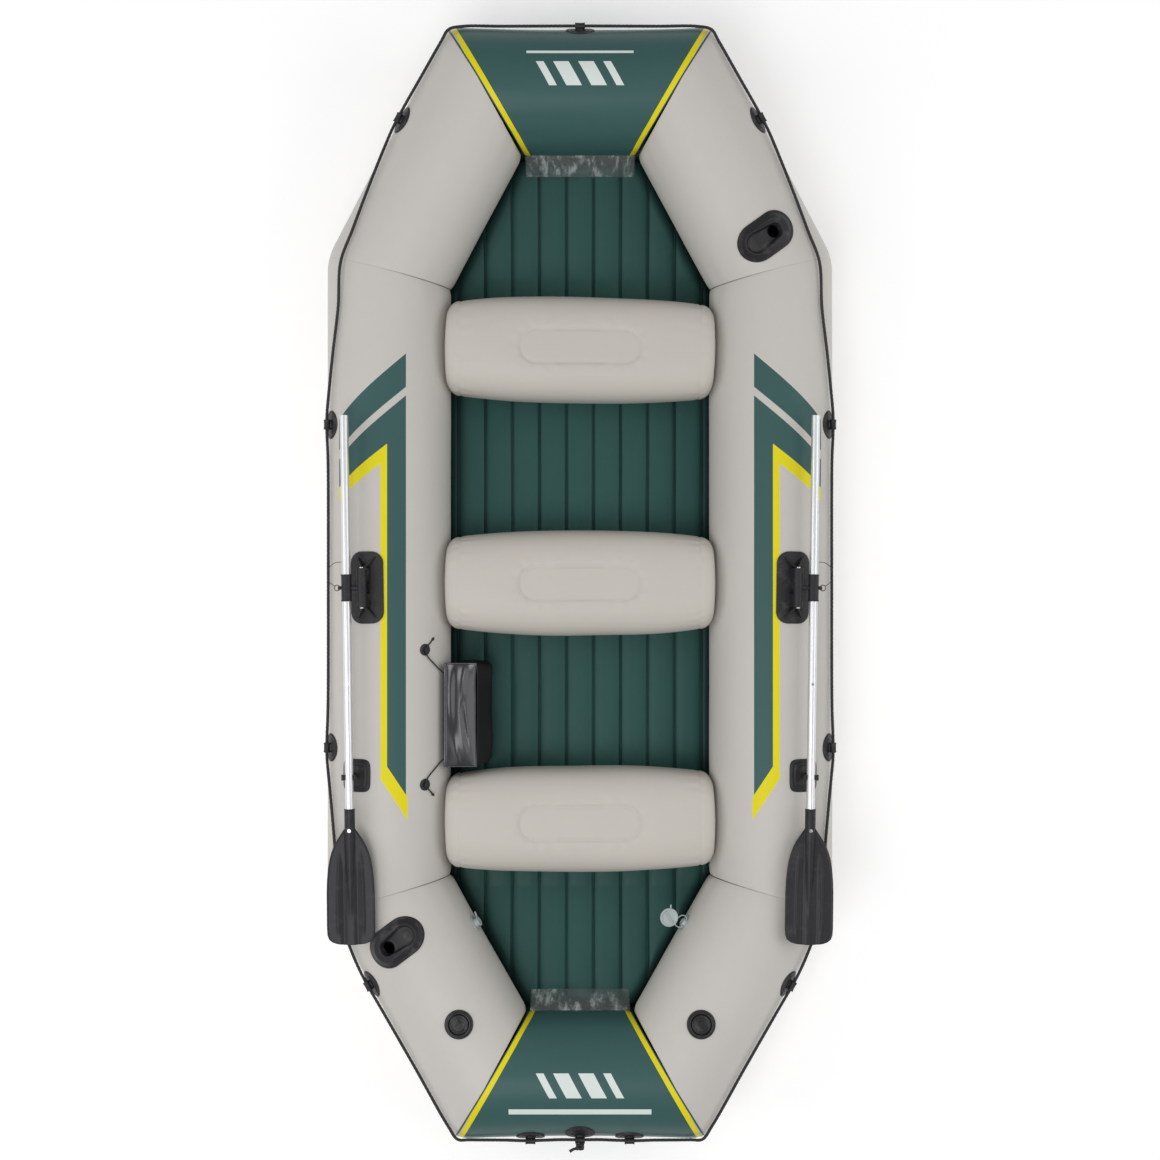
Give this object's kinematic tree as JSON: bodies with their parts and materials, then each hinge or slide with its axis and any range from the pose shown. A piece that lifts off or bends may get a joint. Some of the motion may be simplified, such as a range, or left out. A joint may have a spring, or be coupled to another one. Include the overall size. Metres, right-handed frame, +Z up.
{
  "type": "inflatable boat",
  "caption": "Octagonal inflatable boat of mitred air tubes round an air floor, with lift-out bench seats, oars on tilting rowlocks, rod holders and a grab line.",
  "frame": {"origin": "middle of the hull, on the ground it rests on", "axes": "+Y to the bow, +X to starboard, +Z up"},
  "size_m": [1.482, 3.2188, 0.445],
  "materials": {
    "pvc_beige": "satin PVC",
    "pvc_green": "satin PVC",
    "floor_green": "satin PVC",
    "seat_beige": "satin PVC",
    "clear_film": "clear film",
    "rubber_black": "matte",
    "rope_black": "twisted cord",
    "pouch_black": "coated cloth",
    "plastic_black": "moulded",
    "vinyl_white": "soft vinyl",
    "shaft_silver": "anodised",
    "steel": "bright wire"
  },
  "bodies": {
    "hull": {"port_side_tube": "pvc_beige", "port_bow_tube": "pvc_beige", "bow_tube": "pvc_green", "starboard_bow_tube": "pvc_beige", "starboard_side_tube": "pvc_beige", "starboard_stern_tube": "pvc_beige", "stern_tube": "pvc_green", "port_stern_tube": "pvc_beige", "air_baffles": "pvc_beige", "hull_bottom": "pvc_green", "air_floor": "floor_green", "floor_beams": "floor_green", "splash_films": "clear_film", "rope_holders": "rubber_black", "tow_fitting": "rubber_black", "grab_line": "rope_black", "grab_line_knot": "rope_black", "pouch": "pouch_black", "pouch_eyelets": "rubber_black", "pouch_cords": "rope_black", "port_rod_holder": "rubber_black", "port_rowlock_base": "rubber_black", "port_rowlock_pin": "steel", "port_oar_clasp": "rubber_black", "port_valve_seat": "plastic_black", "port_inner_valve": "vinyl_white", "port_inner_valve_plug": "vinyl_white", "starboard_rod_holder": "rubber_black", "starboard_rowlock_base": "rubber_black", "starboard_rowlock_pin": "steel", "starboard_oar_clasp": "rubber_black", "starboard_valve_seat": "plastic_black", "starboard_inner_valve": "vinyl_white", "starboard_inner_valve_plug": "vinyl_white"},
    "port_oarlock": {"port_oarlock": "plastic_black", "port_lock_ring": "steel"},
    "port_oar": {"port_oar_collar": "plastic_black", "port_oar_upper_shaft": "shaft_silver", "port_oar_lower_shaft": "shaft_silver", "port_oar_blade": "plastic_black", "port_oar_pins": "steel"},
    "port_valve_gasket": {"port_valve_gasket": "rubber_black"},
    "port_valve_cap": {"port_valve_cap": "plastic_black"},
    "starboard_oarlock": {"starboard_oarlock": "plastic_black", "starboard_lock_ring": "steel"},
    "starboard_oar": {"starboard_oar_collar": "plastic_black", "starboard_oar_upper_shaft": "shaft_silver", "starboard_oar_lower_shaft": "shaft_silver", "starboard_oar_blade": "plastic_black", "starboard_oar_pins": "steel"},
    "starboard_valve_gasket": {"starboard_valve_gasket": "rubber_black"},
    "starboard_valve_cap": {"starboard_valve_cap": "plastic_black"},
    "bow_seat": {"bow_seat": "seat_beige", "bow_seat_valve": "vinyl_white"},
    "middle_seat": {"middle_seat": "seat_beige", "middle_seat_valve": "vinyl_white"},
    "stern_seat": {"stern_seat": "seat_beige", "stern_seat_valve": "vinyl_white"},
    "pouch_flap": {"pouch_flap": "pouch_black"}
  },
  "joints": [
    {"name": "port_oarlock_tilt", "type": "hinge", "parent": "hull", "child": "port_oarlock", "pos_m": [-0.61642, -0.013, 0.39057], "axis": [-0.014, 0.9999, 0], "range_deg": [0, 40]},
    {"name": "port_oar_swing", "type": "hinge", "parent": "port_oarlock", "child": "port_oar", "pos_m": [-0.65942, -0.0136, 0.39057], "axis": [-0.9999, -0.014, 0], "range_deg": [0, 5.5]},
    {"name": "port_valve_rise", "type": "slide", "parent": "hull", "child": "port_valve_gasket", "axis": [0.0186, 0.1737, 0.9846], "range_m": [0, 0.0061]},
    {"name": "port_valve_turn", "type": "hinge", "parent": "port_valve_gasket", "child": "port_valve_cap", "pos_m": [-0.34039, -1.23958, 0.41758], "axis": [0.0186, 0.1737, 0.9846], "range_deg": [0, 540]},
    {"name": "starboard_oarlock_tilt", "type": "hinge", "parent": "hull", "child": "starboard_oarlock", "pos_m": [0.61642, -0.013, 0.39057], "axis": [-0.014, -0.9999, 0], "range_deg": [0, 80]},
    {"name": "starboard_oar_swing", "type": "hinge", "parent": "starboard_oarlock", "child": "starboard_oar", "pos_m": [0.65942, -0.0136, 0.39057], "axis": [-0.9999, 0.014, 0], "range_deg": [0, 5.5]},
    {"name": "starboard_valve_rise", "type": "slide", "parent": "hull", "child": "starboard_valve_gasket", "axis": [-0.0186, 0.1737, 0.9846], "range_m": [0, 0.0061]},
    {"name": "starboard_valve_turn", "type": "hinge", "parent": "starboard_valve_gasket", "child": "starboard_valve_cap", "pos_m": [0.34039, -1.23958, 0.41758], "axis": [-0.0186, 0.1737, 0.9846], "range_deg": [0, 540]},
    {"name": "bow_seat_lift", "type": "slide", "parent": "hull", "child": "bow_seat", "axis": [0, 0, 1], "range_m": [0, 0.5]},
    {"name": "middle_seat_lift", "type": "slide", "parent": "hull", "child": "middle_seat", "axis": [0, 0, 1], "range_m": [0, 0.5]},
    {"name": "stern_seat_lift", "type": "slide", "parent": "hull", "child": "stern_seat", "axis": [0, 0, 1], "range_m": [0, 0.5]},
    {"name": "pouch_flap_hinge", "type": "hinge", "parent": "hull", "child": "pouch_flap", "pos_m": [-0.394, -0.38, 0.2858], "axis": [0, -1, 0], "range_deg": [0, 115]}
  ],
  "couplings": [
    {"joint": "port_valve_rise", "follows": "port_valve_turn", "m_per_rad": 0.00063662},
    {"joint": "starboard_valve_rise", "follows": "starboard_valve_turn", "m_per_rad": 0.00063662}
  ]
}
